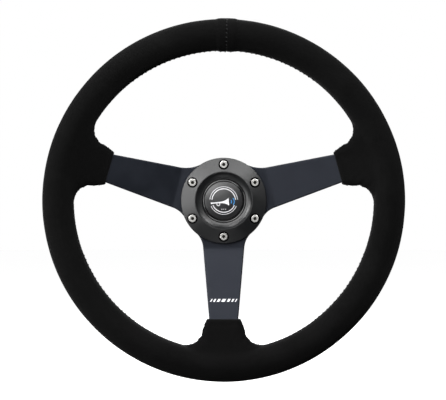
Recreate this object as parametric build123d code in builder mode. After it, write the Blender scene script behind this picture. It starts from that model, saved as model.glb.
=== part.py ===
from build123d import *

import os
from math import atan, cos, degrees, radians, sin, sqrt, tan

# Quick release steering wheel, in millimetres.
# The origin is the centre of the quick release socket's mouth. +Y points at the column, -Y at the
# driver, +Z up. "Depth" is the distance from the mouth towards the driver, so depth = -y.

os.makedirs("parts", exist_ok=True)

# --- Driving dimensions -------------------------------------------------------------------------

# Rim
wheel_diameter = 350.0
grip_width = 30.5  # across the grip in the wheel's plane
grip_thickness = 32.0  # front to back
dish = 38.0  # mounting face to the front of the rim
cover_thickness = 1.3
core_diameter = 10.0
thread_diameter = 1.1
thread_side_gap = 0.02  # on each side of the top seam's thread in its groove
seam_swell = 0.85  # folded cover edges stand this far above the grip
seam_width = 17.0
seam_angle = 89.0  # just right of the wheel's top
butt_gap = 0.2  # between the ends of the hoop, of the foam and of the cover

# Spokes
plate_thickness = 5.0
hub_radius = 41.5
bend_distance = 47.0  # from the axis to the fold of each spoke
bend_radius = 12.0
spoke_angles = (15.7, 164.3, 270.0)  # counter-clockwise from +X, seen by the driver
spoke_half_width = 18.85  # at gauge_distance from the axis
gauge_distance = 60.0
spoke_taper = 0.0865  # half-width lost for each millimetre outward
lower_hub_fillet = 21.0
upper_hub_fillet = 32.0
lower_fillet_limit = 0.21  # of the spoke's reach past the hub
upper_fillet_limit = 0.31
plate_edge_radius = 1.2

# Spoke boots
boot_length = 30.1  # from the grip's inner edge to the hem
boot_hem_half_width = 15.9
boot_hem_half_thickness = 4.3
boot_hem_wall = 1.6

# Core tabs and rivets
tab_thickness = 3.0
tab_half_width = 11.0
tab_length = 28.0
rivet_radius = 2.5
rivet_head_radius = 4.5
rivet_head_height = 1.2
rivet_spacing = 14.0
rivet_inset = 8.0  # from the end of the spoke

# Bolt pattern
bolt_count = 6
bolt_circle_radius = 35.0
bolt_radius = 2.5
bolt_length = 12.0
bolt_head_radius = 3.8
bolt_head_height = 3.5
bolt_hex = 3.0
bolt_hex_depth = 2.0
bolt_clearance = 0.25
thread_clearance = 0.05
bolt_recess_radius = 5.0

# Quick release coupler
bore_radius = 18.0
sleeve_wall = 4.0
pilot_length = 15.0
relief_length = 10.0
relief_depth = 0.8
ball_radius = 3.5
ball_count = 6
ball_reach = 2.0  # how far a locked ball stands into the bore
ball_fit = 0.05
ball_release_margin = 0.1  # how far a released ball stands back from the bore
release_travel = 8.0
travel_margin = 2.0  # left between the collar and its stops over the travel
flange_radius = 40.0
flange_thickness = 8.0
flange_chamfer = 0.8
horn_recess_depth = 6.0
insert_shoulder = 2.0  # the insert stands this much outside the bore
insert_length = 12.0
spline_clearance = 0.4  # from the bore to the roots of the splines
spline_height = 1.8
spline_count = 24
groove_width = 2.1
slide_fit = 0.1

# Release collar
collar_wall = 2.5
collar_flange_height = 5.5
collar_flange_width = 6.5
collar_flange_slope = 3.0
collar_chamfer = 0.7
collar_scallops = 24
scallop_radius = 2.2
land_length = 3.5
end_ring_width = 2.5
end_ring_gap = 0.5  # between the end ring and a released ball
spring_pocket_width = 5.0
spring_pocket_depth = 4.0
collar_spring_wire = 1.2
collar_spring_turns = 4
stop_ring_width = 1.4
stop_ring_height = 2.0
stop_groove_depth = 1.0

# Bore seal
seal_radius = 1.0
seal_stand = 0.15  # how far the seal stands into the bore
seal_land = 0.8  # bore wall between the seal's groove and the relief

# Horn contact in the coupler
carrier_thickness = 4.0
clip_thickness = 1.0
clip_groove_depth = 1.0
clip_width = 3.0
clip_gap = 6.0
carrier_floor = 2.0  # carrier wall behind the pin's head
boss_radius = 7.0
pin_radius = 2.0
pin_reach = 10.0
pin_head_radius = 3.2
pin_head_height = 1.5
pin_travel = 2.0
pin_pocket_radius = 3.5
pin_pocket_length = 5.5
plug_height = 1.9
pin_spring_radius = 2.2
pin_spring_wire = 0.4
pin_spring_turns = 3.5

# Horn ring
ring_radius = 41.6
ring_edge_height = 3.4
ring_edge_round = 0.8
ring_crest_height = 8.5
ring_crest_radius = 28.3
ring_crest_width = 0.8
ring_crest_round = 0.6
ring_mouth_sag = 0.7
ring_mouth_radius = 22.0
ring_mouth_height = 4.2
ring_seat_radius = 29.0
ring_seat_height = 2.1
bolt_seat_height = 1.6

# Horn button
housing_radius = 25.0
housing_clearance = 1.0  # around the housing in the plate and the coupler
housing_flange_radius = 28.5
housing_bore_radius = 21.4
housing_base_thickness = 1.5
housing_depth = 5.5  # from the plate's front to the back of the base
bezel_bore_radius = 18.75
bezel_radius = 21.5
bezel_foot_radius = 22.9
bezel_foot_height = 2.0
bezel_crest_height = 5.4  # above the plate's front
cap_radius = 18.3
cap_edge_height = 6.1
cap_dome = 1.5
cap_top_thickness = 2.2
cap_wall = 1.8
cap_flange_radius = 20.8
cap_flange_height = 1.5
cap_edge_round = 0.6
horn_travel = 1.5
contact_thickness = 0.5
contact_inner_radius = 13.0
contact_outer_radius = 19.8
horn_spring_radius = 9.0
horn_spring_wire = 1.2
horn_spring_turns = 3
terminal_width = 4.8
terminal_thickness = 0.8
terminal_length = 4.0
terminal_offset = 16.0

# --- Sizes that follow --------------------------------------------------------------------------

# Depths along the axis, from the socket's mouth to the driver
relief_end = pilot_length + relief_length
ball_depth = pilot_length + relief_length / 2
insert_end = relief_end + insert_length
carrier_end = insert_end + carrier_thickness
recess_floor = carrier_end + clip_thickness
mount_face = recess_floor + horn_recess_depth
flange_back = mount_face - flange_thickness
plate_front = mount_face + plate_thickness
plate_middle = mount_face + plate_thickness / 2
rim_depth = mount_face + dish - grip_thickness / 2

# Radii and distances of the rim
rim_radius = (wheel_diameter - grip_width) / 2
grip_inner_radius = rim_radius - grip_width / 2
spoke_end = grip_inner_radius + 1.5
boot_hem = grip_inner_radius - boot_length
spoke_meets_rim_plane = grip_inner_radius - 4.5
spoke_slope = (rim_depth - plate_middle) / (spoke_meets_rim_plane - bend_distance)
spoke_tilt = atan(spoke_slope)
rivet_distance = spoke_end - rivet_inset
spoke_reach = spoke_end - hub_radius
lower_fillet = min(lower_hub_fillet, lower_fillet_limit * spoke_reach)
upper_fillet = min(upper_hub_fillet, upper_fillet_limit * spoke_reach)

# The hoop, the foam and the cover are bars and strips bent round, whose ends meet under the top seam
ring_start = seam_angle + degrees(butt_gap / 2 / rim_radius)
ring_end = seam_angle + 360 - degrees(butt_gap / 2 / rim_radius)

# Quick release
sleeve_radius = bore_radius + sleeve_wall
ball_rest_radius = bore_radius - ball_reach + ball_radius
ball_travel = ball_reach + ball_release_margin
ball_overhang = sqrt(ball_radius**2 - (sleeve_radius - ball_rest_radius) ** 2)
cone_slope = ball_travel / release_travel
cone_radius_at_ball = ball_rest_radius + (ball_radius + ball_fit) / cos(atan(cone_slope))
cone_start = ball_depth - release_travel - travel_margin
cone_end = ball_depth + ball_overhang + slide_fit
spring_seat = cone_end + land_length
collar_end = spring_seat + spring_pocket_depth
end_ring_end = cone_start - ball_radius - end_ring_gap
end_ring_start = end_ring_end - end_ring_width
stop_ring_end = end_ring_start - slide_fit
stop_ring_start = stop_ring_end - stop_ring_width
stop_ring_inner = sleeve_radius - stop_groove_depth
collar_bore_radius = sleeve_radius + spring_pocket_width
collar_barrel_radius = collar_bore_radius + collar_wall
collar_flange_radius = collar_barrel_radius + collar_flange_height
collar_spring_radius = sleeve_radius + spring_pocket_width / 2

# Splines, seal and horn recess
insert_radius = bore_radius + insert_shoulder
spline_major_radius = bore_radius - spline_clearance
spline_minor_radius = spline_major_radius - spline_height
seal_middle_radius = bore_radius - seal_stand + seal_radius
seal_depth = pilot_length - seal_land - seal_radius
horn_recess_radius = housing_radius + housing_clearance

# Horn button
housing_back = plate_front - housing_depth
base_top = housing_back + housing_base_thickness
fixed_contact_top = base_top + contact_thickness
moving_contact_back = fixed_contact_top + horn_travel
cap_flange_back = moving_contact_back + contact_thickness
cap_flange_front = cap_flange_back + cap_flange_height
bezel_foot_back = cap_flange_front + slide_fit
bezel_foot_front = bezel_foot_back + bezel_foot_height
cap_edge = plate_front + cap_edge_height
cap_underside = cap_edge - cap_top_thickness

# --- Planes and shared shapes -------------------------------------------------------------------

# Half section through the axis: local x is the radius and local y is the depth
SECTION = Plane(origin=(0, 0, 0), x_dir=(1, 0, 0), z_dir=(0, 0, -1))


def face_plane(depth, angle=0.0):
    """A plane facing the driver at a depth, with its x along a spoke's angle."""
    turn = radians(angle)
    return Plane(origin=(0, -depth, 0), x_dir=(cos(turn), 0, sin(turn)), z_dir=(0, -1, 0))


def side_plane(angle):
    """The plane through the axis and a spoke: local x is outward and local y is the depth."""
    turn = radians(angle)
    return Plane(origin=(0, 0, 0), x_dir=(cos(turn), 0, sin(turn)), z_dir=(sin(turn), 0, -cos(turn)))


def arm_plane(angle, distance, height):
    """A plane along a spoke's sloping arm, at a height in front of its middle surface."""
    turn = radians(angle)
    outward = Vector(cos(turn), 0, sin(turn))
    forward = Vector(0, -1, 0)
    along = outward * cos(spoke_tilt) + forward * sin(spoke_tilt)
    normal = forward * cos(spoke_tilt) - outward * sin(spoke_tilt)
    depth = plate_middle + spoke_slope * (distance - bend_distance)
    return Plane(origin=outward * distance + forward * depth + normal * height, x_dir=along, z_dir=normal)


def band(inner, outer, back, front, mode=Mode.ADD):
    """A rectangle in the half section, between two radii and two depths."""
    with Locations(((inner + outer) / 2, (back + front) / 2)):
        Rectangle(outer - inner, front - back, mode=mode)


def disc(inner, outer, back, front):
    """A plain ring or disc about the axis, between two radii and two depths."""
    with BuildPart() as ring:
        with BuildSketch(SECTION):
            band(inner, outer, back, front)
        revolve(axis=Axis.Y)
    return ring.part


def coil(mean_radius, wire, back, front, turns):
    """A round-wire spring about the axis that just fills the space between two depths."""
    start = -(back + wire / 2)
    height = front - back - wire
    with BuildPart() as spring:
        with BuildLine():
            path = Helix(height / turns, height, mean_radius, center=(0, start, 0), direction=(0, -1, 0))
        with BuildSketch(path ^ 0):
            Circle(wire / 2)
        sweep(is_frenet=True)
    return spring.part


def circles_of(builder, radius):
    """The circular edges of a radius, from the driver's side to the column's side."""
    circles = builder.edges().filter_by(GeomType.CIRCLE)
    return ShapeList([e for e in circles if abs(e.radius - radius) < 0.01]).sort_by(Axis.Y)


def bolt_places():
    """The bolt circle, with a bolt straight above and straight below the axis."""
    return PolarLocations(bolt_circle_radius, bolt_count, start_angle=90)


def rivet_places():
    """The two rivets of one spoke, side by side."""
    return GridLocations(1, rivet_spacing, 1, 2)


def finish(builder, name):
    """Label a finished piece and write it."""
    builder.part.label = name
    export_step(builder.part, f"parts/{name}.step")


# --- Spoke frame --------------------------------------------------------------------------------


def half_width(distance):
    """Half the width of a spoke at a distance from the axis."""
    return spoke_half_width - spoke_taper * (distance - gauge_distance)


def spoke_arm(angle):
    """The hub disc with one folded arm."""
    fold = plate_thickness * tan(spoke_tilt / 2)
    rise = spoke_slope * (spoke_end - bend_distance)
    lift = plate_thickness / 2 * (1 / cos(spoke_tilt) - 1)
    with BuildPart() as arm:
        with BuildSketch(face_plane(0, angle)) as outline:
            Circle(hub_radius)
            with BuildLine():
                Polyline(
                    (0, half_width(0)),
                    (spoke_end, half_width(spoke_end)),
                    (spoke_end, -half_width(spoke_end)),
                    (0, -half_width(0)),
                    close=True,
                )
            make_face()
            for side in (-1, 1):
                lies_above = side * cos(radians(angle)) > 0.1
                on_hub = [v for v in outline.vertices() if abs(v.center().length - hub_radius) < 0.01]
                fillet([v for v in on_hub if side * v.Y > 0], upper_fillet if lies_above else lower_fillet)
        extrude(amount=2 * rim_depth)
        with BuildSketch(side_plane(angle)):
            with BuildLine():
                back = FilletPolyline(
                    (-hub_radius, mount_face),
                    (bend_distance + fold / 2, mount_face),
                    (spoke_end, mount_face + rise - lift),
                    radius=bend_radius + plate_thickness,
                )
                front = FilletPolyline(
                    (-hub_radius, plate_front),
                    (bend_distance - fold / 2, plate_front),
                    (spoke_end, plate_front + rise + lift),
                    radius=bend_radius,
                )
                Line(back @ 0, front @ 0)
                Line(back @ 1, front @ 1)
            make_face()
        extrude(amount=2 * hub_radius, both=True, mode=Mode.INTERSECT)
    return arm.part


def is_rim_edge(edge):
    """True for an edge that runs along the outline of the spoke frame's front or back."""
    direction = edge % 0.5
    if abs(direction.Y) > 0.9:
        return False
    if edge.geom_type != GeomType.LINE:
        return True
    across = [Vector(-sin(radians(a)), 0, cos(radians(a))) for a in spoke_angles]
    return all(abs(direction.dot(line)) < 0.99 for line in across)


with BuildPart() as spoke_frame:
    add([spoke_arm(spoke_angle) for spoke_angle in spoke_angles])
    fillet([e for e in spoke_frame.edges() if is_rim_edge(e)], plate_edge_radius)
    with BuildSketch(face_plane(mount_face)):
        Circle(horn_recess_radius)
        with bolt_places():
            Circle(bolt_radius + bolt_clearance)
    extrude(amount=plate_thickness, mode=Mode.SUBTRACT)
    for spoke_angle in spoke_angles:
        with BuildSketch(arm_plane(spoke_angle, rivet_distance, -plate_thickness / 2)):
            with rivet_places():
                Circle(rivet_radius)
        extrude(amount=plate_thickness, mode=Mode.SUBTRACT)
finish(spoke_frame, "spoke_frame")

# --- Rim core and rivets ------------------------------------------------------------------------

with BuildPart() as rim_core:
    with BuildSketch(side_plane(ring_end)):
        with Locations((rim_radius, rim_depth)):
            Circle(core_diameter / 2)
    revolve(axis=Axis.Y, revolution_arc=ring_end - ring_start)
    for spoke_angle in spoke_angles:
        with BuildSketch(arm_plane(spoke_angle, rivet_distance, -plate_thickness / 2 - tab_thickness)):
            with Locations((rim_radius - core_diameter / 4 - rivet_distance, 0)):
                Rectangle(tab_length, 2 * tab_half_width, align=(Align.MAX, Align.CENTER))
            with rivet_places():
                Circle(rivet_radius, mode=Mode.SUBTRACT)
        extrude(amount=tab_thickness)
finish(rim_core, "rim_core")

with BuildPart() as spoke_rivets:
    for spoke_angle in spoke_angles:
        tab_back = -plate_thickness / 2 - tab_thickness
        with BuildSketch(arm_plane(spoke_angle, rivet_distance, tab_back)):
            with rivet_places():
                Circle(rivet_radius)
        extrude(amount=plate_thickness + tab_thickness)
        for height in (tab_back - rivet_head_height, plate_thickness / 2):
            with BuildSketch(arm_plane(spoke_angle, rivet_distance, height)):
                with rivet_places():
                    Circle(rivet_head_radius)
            extrude(amount=rivet_head_height)
finish(spoke_rivets, "spoke_rivets")

# --- Grip: foam, cover and thread ---------------------------------------------------------------


def boot_body(angle, inset):
    """The padded boot over the end of one spoke, drawn in by inset on every side."""
    flank = [
        (boot_hem, boot_hem_half_width),
        (boot_hem + 7.1, boot_hem_half_width + 3.5),
        (boot_hem + 15.6, boot_hem_half_width + 5.9),
        (boot_hem + 22.3, boot_hem_half_width + 12.0),
        (boot_hem + 25.0, boot_hem_half_width + 21.0),
        (boot_hem + 26.6, boot_hem_half_width + 32.0),
    ]
    hem_middle = plate_middle + spoke_slope * (boot_hem - bend_distance)
    hem = boot_hem + (boot_hem_wall if inset else 0)
    with BuildPart() as boot:
        with BuildSketch(face_plane(0, angle)):
            with BuildLine():
                left = Spline(*[(a, half - inset) for a, half in flank])
                right = Spline(*[(a, inset - half) for a, half in flank])
                Line(left @ 0, right @ 0)
                Polyline(left @ 1, (rim_radius, (left @ 1).Y), (rim_radius, (right @ 1).Y), right @ 1)
            make_face()
        extrude(amount=2 * rim_depth)
        with BuildSketch(side_plane(angle)):
            with BuildLine():
                Polyline(
                    (hem, hem_middle + boot_hem_half_thickness - inset),
                    (grip_inner_radius + 3.5, rim_depth + 0.32 * grip_thickness - inset),
                    (rim_radius, rim_depth + 0.32 * grip_thickness - inset),
                    (rim_radius, rim_depth - 0.43 * grip_thickness + inset),
                    (grip_inner_radius + 7.5, rim_depth - 0.43 * grip_thickness + inset),
                    (hem, hem_middle - boot_hem_half_thickness + inset),
                    close=True,
                )
            make_face()
        extrude(amount=rim_radius / 2, both=True, mode=Mode.INTERSECT)
    return boot.part


def rim_arc(start, end, growth, wall=0.0):
    """A stretch of the grip's section between two angles, grown outward and hollowed to a wall."""
    with BuildPart() as arc:
        with BuildSketch(side_plane(end)):
            with Locations((rim_radius, rim_depth)):
                Ellipse(grip_width / 2 + growth, grip_thickness / 2 + growth)
                if wall:
                    inner = growth - wall
                    Ellipse(grip_width / 2 + inner, grip_thickness / 2 + inner, mode=Mode.SUBTRACT)
        revolve(axis=Axis.Y, revolution_arc=end - start)
    return arc.part


def grip_body(inset):
    """The outside of the grip with its three boots, drawn in by inset on every side."""
    with BuildPart() as grip:
        add(rim_arc(ring_start, ring_end, -inset))
        for angle in spoke_angles:
            add(boot_body(angle, inset))
    return grip.part


def inner_thread(start, end):
    """A run of the seam's thread along the grip's inner edge."""
    with BuildPart() as run:
        with BuildSketch(side_plane(end)):
            with Locations((grip_inner_radius + thread_diameter / 4, rim_depth)):
                Circle(thread_diameter / 2)
        revolve(axis=Axis.Y, revolution_arc=end - start)
    return run.part


seam_half_angle = degrees(seam_width / 2 / rim_radius)
thread_half_angle = degrees(thread_diameter / 2 / rim_radius)
thread_gap_angle = degrees(thread_side_gap / rim_radius)
boot_half_angle = degrees(atan((boot_hem_half_width + 24.0) / (boot_hem + 25.0)))
thread_start = seam_angle - thread_half_angle
thread_end = seam_angle + thread_half_angle
inner_seams = [
    (spoke_angles[0] + boot_half_angle, thread_start),
    (thread_end, spoke_angles[1] - boot_half_angle),
    (spoke_angles[1] + boot_half_angle, spoke_angles[2] - boot_half_angle),
    (spoke_angles[2] + boot_half_angle, spoke_angles[0] + 360 - boot_half_angle),
]

with BuildPart() as top_seam_stitching:
    add(rim_arc(thread_start + thread_gap_angle, thread_end - thread_gap_angle, seam_swell, thread_diameter))
finish(top_seam_stitching, "top_seam_stitching")

groove_cut = thread_diameter + seam_swell  # runs clear of the cover's outside
seam_groove = rim_arc(thread_start, thread_end, 2 * seam_swell, groove_cut)

with BuildPart() as rim_stitching:
    for seam_start, seam_end in inner_seams:
        add(inner_thread(seam_start, seam_end))
finish(rim_stitching, "rim_stitching")


grip_inside = grip_body(cover_thickness)

with BuildPart() as suede_cover:
    add(grip_body(0.0))
    add(rim_arc(ring_start, seam_angle + seam_half_angle, seam_swell))
    add(rim_arc(seam_angle + 360 - seam_half_angle, ring_end, seam_swell))
    for neighbour in (grip_inside, spoke_frame.part, seam_groove, rim_stitching.part):
        add(neighbour, mode=Mode.SUBTRACT)
finish(suede_cover, "suede_cover")

with BuildPart() as rim_foam:
    add(grip_inside)
    for neighbour in (rim_core, spoke_frame, spoke_rivets):
        add(neighbour.part, mode=Mode.SUBTRACT)
finish(rim_foam, "rim_foam")

# --- Horn ring and wheel bolts ------------------------------------------------------------------

bolt_seat = plate_front + bolt_seat_height

with BuildPart() as horn_ring:
    with BuildSketch(SECTION):
        with BuildLine():
            mouth = (ring_mouth_radius, plate_front + ring_mouth_height)
            crest = (ring_crest_radius, plate_front + ring_crest_height)
            shoulder = (ring_radius, plate_front + ring_edge_height)
            crest_inside = (ring_crest_radius - ring_crest_width, crest[1])
            SagittaArc(mouth, crest_inside, -ring_mouth_sag)
            Polyline(crest_inside, crest, shoulder, (ring_radius, plate_front))
            Polyline(
                (ring_radius, plate_front),
                (ring_seat_radius, plate_front),
                (ring_seat_radius, plate_front + ring_seat_height),
                (ring_mouth_radius, plate_front + ring_seat_height),
                mouth,
            )
        make_face()
    revolve(axis=Axis.Y)
    fillet(circles_of(horn_ring, ring_radius)[0], ring_edge_round)
    fillet(circles_of(horn_ring, ring_crest_radius), ring_crest_round)
    with BuildSketch(face_plane(plate_front)):
        with bolt_places():
            Circle(bolt_radius + bolt_clearance)
    extrude(amount=ring_crest_height, mode=Mode.SUBTRACT)
    with BuildSketch(face_plane(bolt_seat)):
        with bolt_places():
            Circle(bolt_recess_radius)
    extrude(amount=ring_crest_height, mode=Mode.SUBTRACT)
finish(horn_ring, "horn_ring")

with BuildPart() as wheel_bolts:
    with BuildSketch(face_plane(bolt_seat - bolt_length)):
        with bolt_places():
            Circle(bolt_radius)
    extrude(amount=bolt_length)
    chamfer(wheel_bolts.edges().sort_by(Axis.Y)[-bolt_count:], 0.4)
    with BuildSketch(face_plane(bolt_seat)):
        with bolt_places():
            Circle(bolt_head_radius)
    extrude(amount=bolt_head_height)
    fillet(wheel_bolts.edges().sort_by(Axis.Y)[:bolt_count], 0.5)
    with BuildSketch(face_plane(bolt_seat + bolt_head_height - bolt_hex_depth)):
        with bolt_places():
            RegularPolygon(bolt_hex / 2, 6, major_radius=False)
    extrude(amount=bolt_hex_depth, mode=Mode.SUBTRACT)
finish(wheel_bolts, "wheel_bolts")

# --- Horn button --------------------------------------------------------------------------------

terminal_tip = housing_back - terminal_length

with BuildPart() as horn_terminals:
    with BuildSketch(face_plane(terminal_tip)):
        with PolarLocations(terminal_offset, 2):
            Rectangle(terminal_thickness, terminal_width)
    extrude(amount=base_top - terminal_tip)
finish(horn_terminals, "horn_terminals")

with BuildPart() as horn_housing:
    with BuildSketch(SECTION):
        band(0, housing_radius, housing_back, base_top)
        band(housing_bore_radius, housing_radius, base_top, bezel_foot_back)
        band(bezel_foot_radius, housing_radius, bezel_foot_back, bezel_foot_front)
        band(housing_radius, housing_flange_radius, plate_front, plate_front + ring_seat_height)
    revolve(axis=Axis.Y)
    add(horn_terminals.part, mode=Mode.SUBTRACT)
finish(horn_housing, "horn_housing")

with BuildPart() as fixed_contact:
    add(disc(contact_inner_radius, contact_outer_radius, base_top, fixed_contact_top))
finish(fixed_contact, "fixed_contact")

with BuildPart() as moving_contact:
    add(disc(contact_inner_radius, contact_outer_radius, moving_contact_back, cap_flange_back))
finish(moving_contact, "moving_contact")

with BuildPart() as horn_bezel:
    bezel_shoulder = plate_front + bezel_crest_height - 1.0
    with BuildSketch(SECTION):
        with BuildLine():
            Polyline(
                (bezel_bore_radius, bezel_shoulder),
                (bezel_bore_radius, bezel_foot_back),
                (bezel_foot_radius, bezel_foot_back),
                (bezel_foot_radius, bezel_foot_front),
                (bezel_radius, bezel_foot_front),
                (bezel_radius, bezel_shoulder),
            )
            SagittaArc((bezel_radius, bezel_shoulder), (bezel_bore_radius, bezel_shoulder), 1.0)
        make_face()
    revolve(axis=Axis.Y)
finish(horn_bezel, "horn_bezel")

with BuildPart() as horn_cap:
    with BuildSketch(SECTION):
        with BuildLine():
            top = ThreePointArc(
                (0, cap_edge + cap_dome),
                (cap_radius / 2, cap_edge + 0.75 * cap_dome),
                (cap_radius, cap_edge),
            )
            Polyline(
                top @ 1,
                (cap_radius, cap_flange_front),
                (cap_flange_radius, cap_flange_front),
                (cap_flange_radius, cap_flange_back),
                (cap_radius - cap_wall, cap_flange_back),
                (cap_radius - cap_wall, cap_underside),
                (0, cap_underside),
                top @ 0,
            )
        make_face()
    revolve(axis=Axis.Y)
    fillet(circles_of(horn_cap, cap_radius)[0], cap_edge_round)
finish(horn_cap, "horn_cap")

with BuildPart() as horn_spring:
    add(coil(horn_spring_radius, horn_spring_wire, base_top, cap_underside, horn_spring_turns))
finish(horn_spring, "horn_spring")

# --- Quick release coupler ----------------------------------------------------------------------

with BuildPart() as bore_seal:
    with BuildSketch(SECTION):
        with Locations((seal_middle_radius, seal_depth)):
            Circle(seal_radius)
    revolve(axis=Axis.Y)
finish(bore_seal, "bore_seal")

with BuildPart() as coupler_body:
    seal_groove = seal_middle_radius + seal_radius
    with BuildSketch(SECTION):
        band(bore_radius, sleeve_radius, 0, flange_back)
        band(bore_radius, flange_radius, flange_back, mount_face)
        band(0, bore_radius + relief_depth, pilot_length, relief_end, mode=Mode.SUBTRACT)
        band(0, seal_groove, seal_depth - seal_radius, seal_depth + seal_radius, mode=Mode.SUBTRACT)
        band(0, insert_radius, relief_end, recess_floor, mode=Mode.SUBTRACT)
        band(0, insert_radius + clip_groove_depth, carrier_end, recess_floor, mode=Mode.SUBTRACT)
        band(0, horn_recess_radius, recess_floor, mount_face, mode=Mode.SUBTRACT)
        band(stop_ring_inner, sleeve_radius, stop_ring_start, stop_ring_end, mode=Mode.SUBTRACT)
    revolve(axis=Axis.Y)
    chamfer(circles_of(coupler_body, flange_radius), flange_chamfer)
    with BuildSketch(face_plane(flange_back)):
        with bolt_places():
            Circle(bolt_radius + thread_clearance)
    extrude(amount=flange_thickness, mode=Mode.SUBTRACT)
    for index in range(ball_count):
        turn = radians(90 + index * 360 / ball_count)
        outward = Vector(cos(turn), 0, sin(turn))
        seat = outward * ball_rest_radius - Vector(0, ball_depth, 0)
        with Locations(seat):
            Sphere(ball_radius + ball_fit, mode=Mode.SUBTRACT)
        with BuildSketch(Plane(origin=seat, z_dir=outward)):
            Circle(ball_radius + ball_fit)
        extrude(amount=sleeve_wall + ball_radius, mode=Mode.SUBTRACT)
finish(coupler_body, "coupler_body")

for index in range(ball_count):
    turn = radians(90 + index * 360 / ball_count)
    with BuildPart() as lock_ball:
        with Locations((ball_rest_radius * cos(turn), -ball_depth, ball_rest_radius * sin(turn))):
            Sphere(ball_radius)
    finish(lock_ball, f"lock_ball_{index + 1}")

with BuildPart() as spline_insert:
    with BuildSketch(face_plane(relief_end)):
        Circle(insert_radius)
        Circle(spline_minor_radius, mode=Mode.SUBTRACT)
        # One groove is left out, so that the wheel goes on in only one position
        for index in range(1, spline_count):
            with PolarLocations((spline_minor_radius + spline_major_radius) / 2, 1,
                                start_angle=90 + index * 360 / spline_count):
                with Locations((-spline_height / 2, 0)):
                    Rectangle(2 * spline_height, groove_width, mode=Mode.SUBTRACT)
    extrude(amount=insert_length)
finish(spline_insert, "spline_insert")

# --- Horn contact -------------------------------------------------------------------------------

pin_seat = insert_end + carrier_floor
pin_pocket_end = pin_seat + pin_pocket_length
boss_end = pin_pocket_end + plug_height - 0.4

with BuildPart() as contact_carrier:
    with BuildSketch(SECTION):
        band(pin_radius + slide_fit, insert_radius, insert_end, pin_seat)
        band(pin_pocket_radius, insert_radius, pin_seat, carrier_end)
        band(pin_pocket_radius, boss_radius, carrier_end, boss_end)
    revolve(axis=Axis.Y)
finish(contact_carrier, "contact_carrier")

with BuildPart() as contact_pin:
    with BuildSketch(SECTION):
        band(0, pin_radius, insert_end - pin_reach, pin_seat)
        band(0, pin_head_radius, pin_seat, pin_seat + pin_head_height)
    revolve(axis=Axis.Y)
    fillet(contact_pin.edges().filter_by(GeomType.CIRCLE).sort_by(Axis.Y)[-1], pin_radius * 0.9)
finish(contact_pin, "contact_pin")

with BuildPart() as contact_spring:
    pin_back = pin_seat + pin_head_height
    add(coil(pin_spring_radius, pin_spring_wire, pin_back, pin_pocket_end, pin_spring_turns))
finish(contact_spring, "contact_spring")

with BuildPart() as contact_plug:
    add(disc(0, pin_pocket_radius, pin_pocket_end, pin_pocket_end + plug_height))
finish(contact_plug, "contact_plug")

with BuildPart() as carrier_clip:
    clip_radius = insert_radius + clip_groove_depth
    with BuildSketch(face_plane(carrier_end)):
        Circle(clip_radius)
        Circle(clip_radius - clip_width, mode=Mode.SUBTRACT)
        with Locations((0, -clip_radius)):
            Rectangle(clip_gap, 3 * clip_width, mode=Mode.SUBTRACT)
    extrude(amount=clip_thickness)
finish(carrier_clip, "carrier_clip")

# --- Release collar -----------------------------------------------------------------------------


def cone_radius(depth):
    """The collar's inner cone, which lets the balls out as the collar moves towards the driver."""
    return cone_radius_at_ball + cone_slope * (ball_depth - depth)


with BuildPart() as release_collar:
    land_radius = sleeve_radius + slide_fit
    flange_start = collar_end - collar_flange_width
    with BuildSketch(SECTION):
        with BuildLine():
            Polyline(
                (collar_bore_radius, end_ring_start),
                (collar_barrel_radius, end_ring_start),
                (collar_barrel_radius, flange_start - collar_flange_slope),
                (collar_flange_radius, flange_start),
                (collar_flange_radius, collar_end),
                (collar_bore_radius, collar_end),
                (collar_bore_radius, spring_seat),
                (land_radius, spring_seat),
                (land_radius, cone_end),
                (cone_radius(cone_end), cone_end),
                (cone_radius(cone_start), cone_start),
                (cone_radius(cone_start), end_ring_end),
                (collar_bore_radius, end_ring_end),
                close=True,
            )
        make_face()
    revolve(axis=Axis.Y)
    mouth_edge = circles_of(release_collar, collar_barrel_radius)[-1]
    chamfer([mouth_edge] + circles_of(release_collar, collar_flange_radius), collar_chamfer)
    with BuildSketch(face_plane(flange_start - 1.0)):
        with PolarLocations(collar_flange_radius + scallop_radius * 0.45, collar_scallops):
            Circle(scallop_radius)
    extrude(amount=collar_flange_width + 2.0, mode=Mode.SUBTRACT)
finish(release_collar, "release_collar")

with BuildPart() as collar_end_ring:
    add(disc(sleeve_radius + slide_fit, collar_bore_radius, end_ring_start, end_ring_end))
finish(collar_end_ring, "collar_end_ring")

with BuildPart() as stop_ring:
    with BuildSketch(face_plane(stop_ring_start)):
        Circle(sleeve_radius + stop_ring_height)
        Circle(stop_ring_inner, mode=Mode.SUBTRACT)
        with Locations((0, -sleeve_radius)):
            Rectangle(5.0, 4 * stop_ring_height, mode=Mode.SUBTRACT)
    extrude(amount=stop_ring_width)
finish(stop_ring, "stop_ring")

with BuildPart() as collar_spring:
    add(coil(collar_spring_radius, collar_spring_wire, spring_seat, flange_back, collar_spring_turns))
finish(collar_spring, "collar_spring")
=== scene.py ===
from math import cos, pi, radians, sin

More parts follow.
